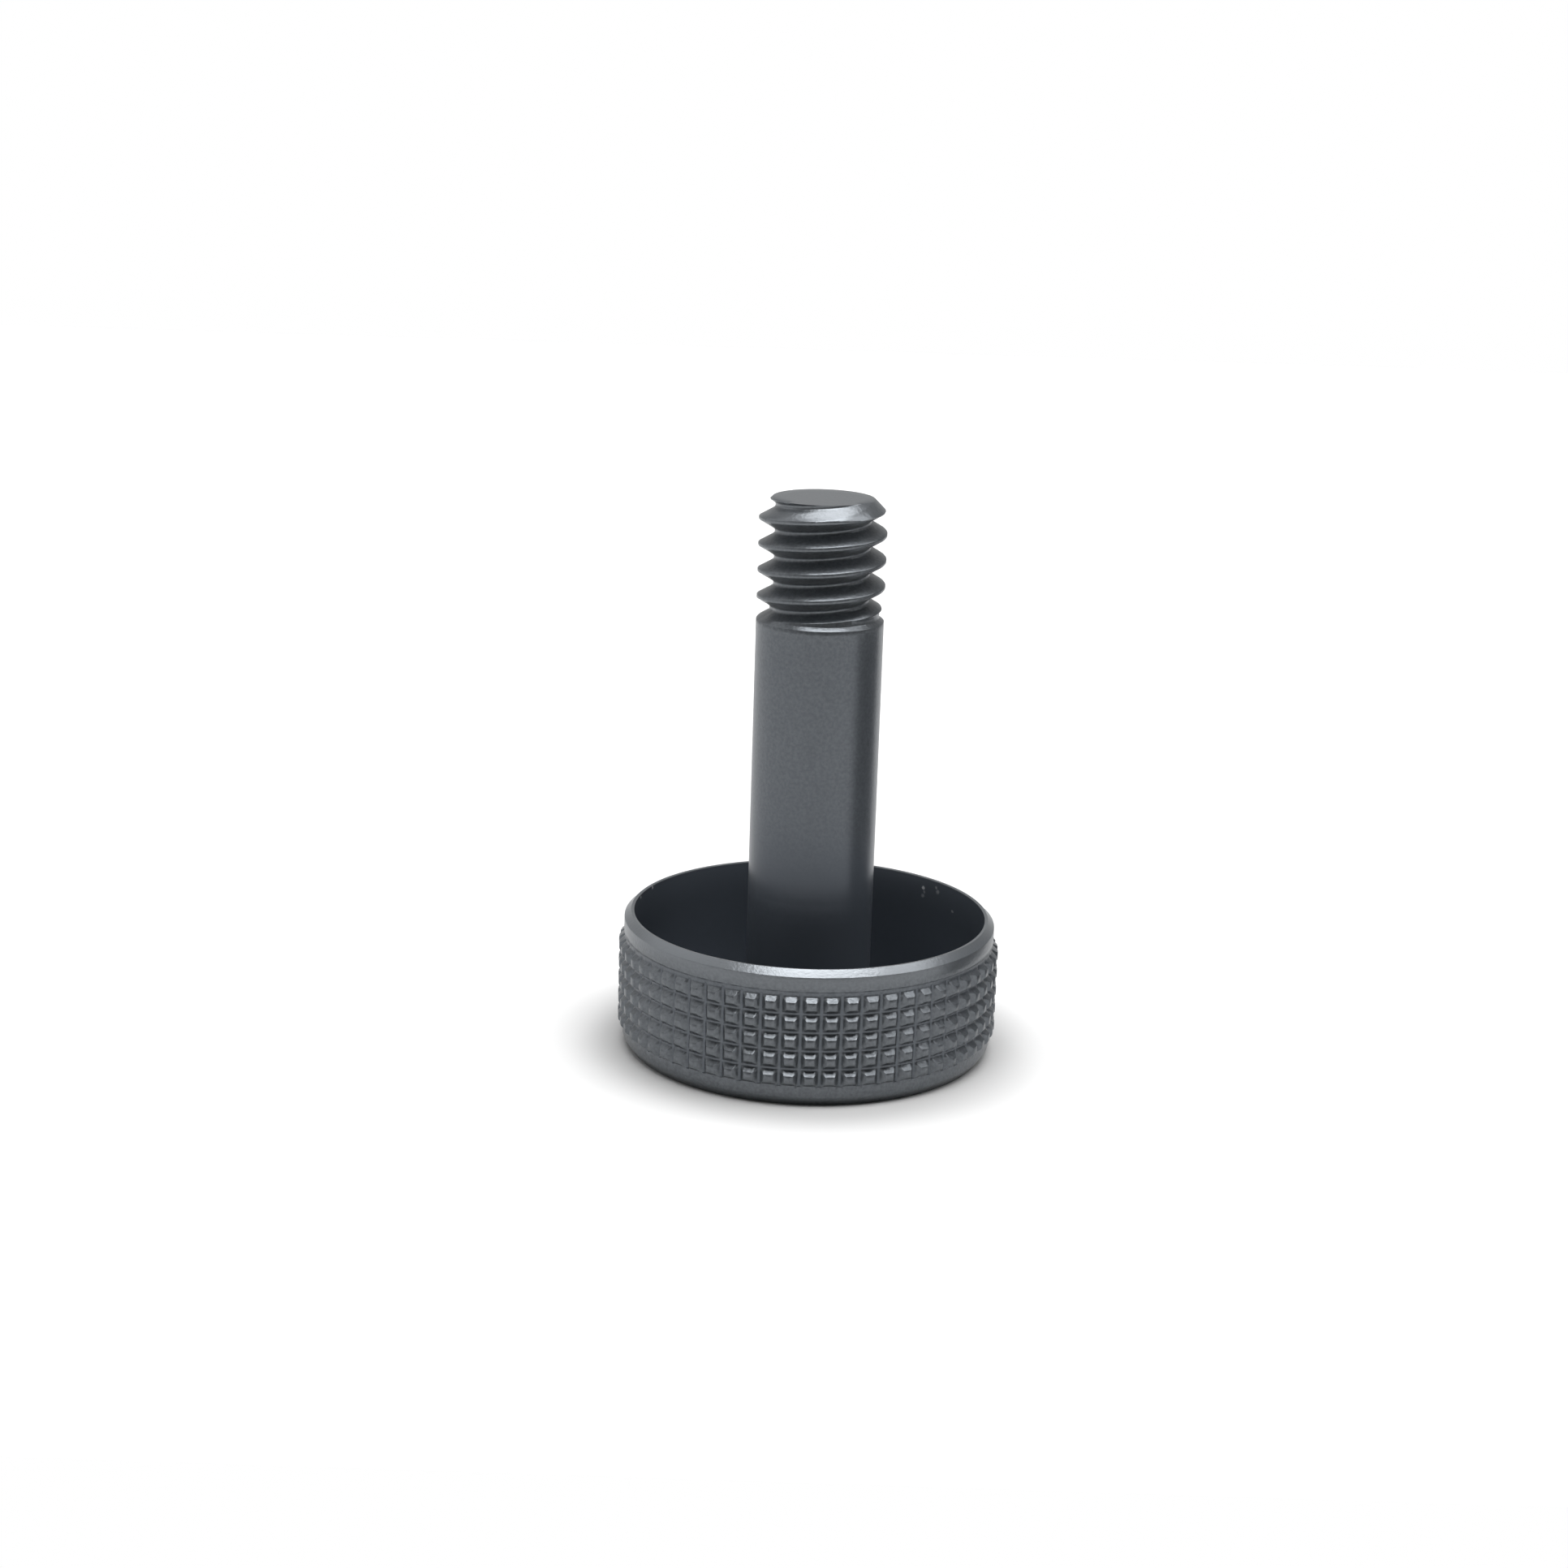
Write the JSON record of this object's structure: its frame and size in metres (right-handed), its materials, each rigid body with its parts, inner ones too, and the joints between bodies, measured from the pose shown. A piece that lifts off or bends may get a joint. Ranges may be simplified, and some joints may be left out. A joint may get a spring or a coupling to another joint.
{
  "type": "thumb screw",
  "caption": "Thumb screw with a hollow, cup-shaped knurled head, a plain round shank and a short coarse thread at its tip.",
  "frame": {"origin": "centre of the head's closed end, the face it stands on", "axes": "+Z along the shank, from the head to the threaded tip; the screw is round, so X and Y only fix where the knurl and the thread start"},
  "size_m": [0.0188, 0.0188, 0.0276],
  "materials": {
    "anodised_aluminium": "bead-blasted and anodised dark grey, matt; the hollow of the head and the root of the shank are smoother and nearly black"
  },
  "bodies": {
    "root": {"thumb_screw": "anodised_aluminium"}
  },
  "joints": []
}
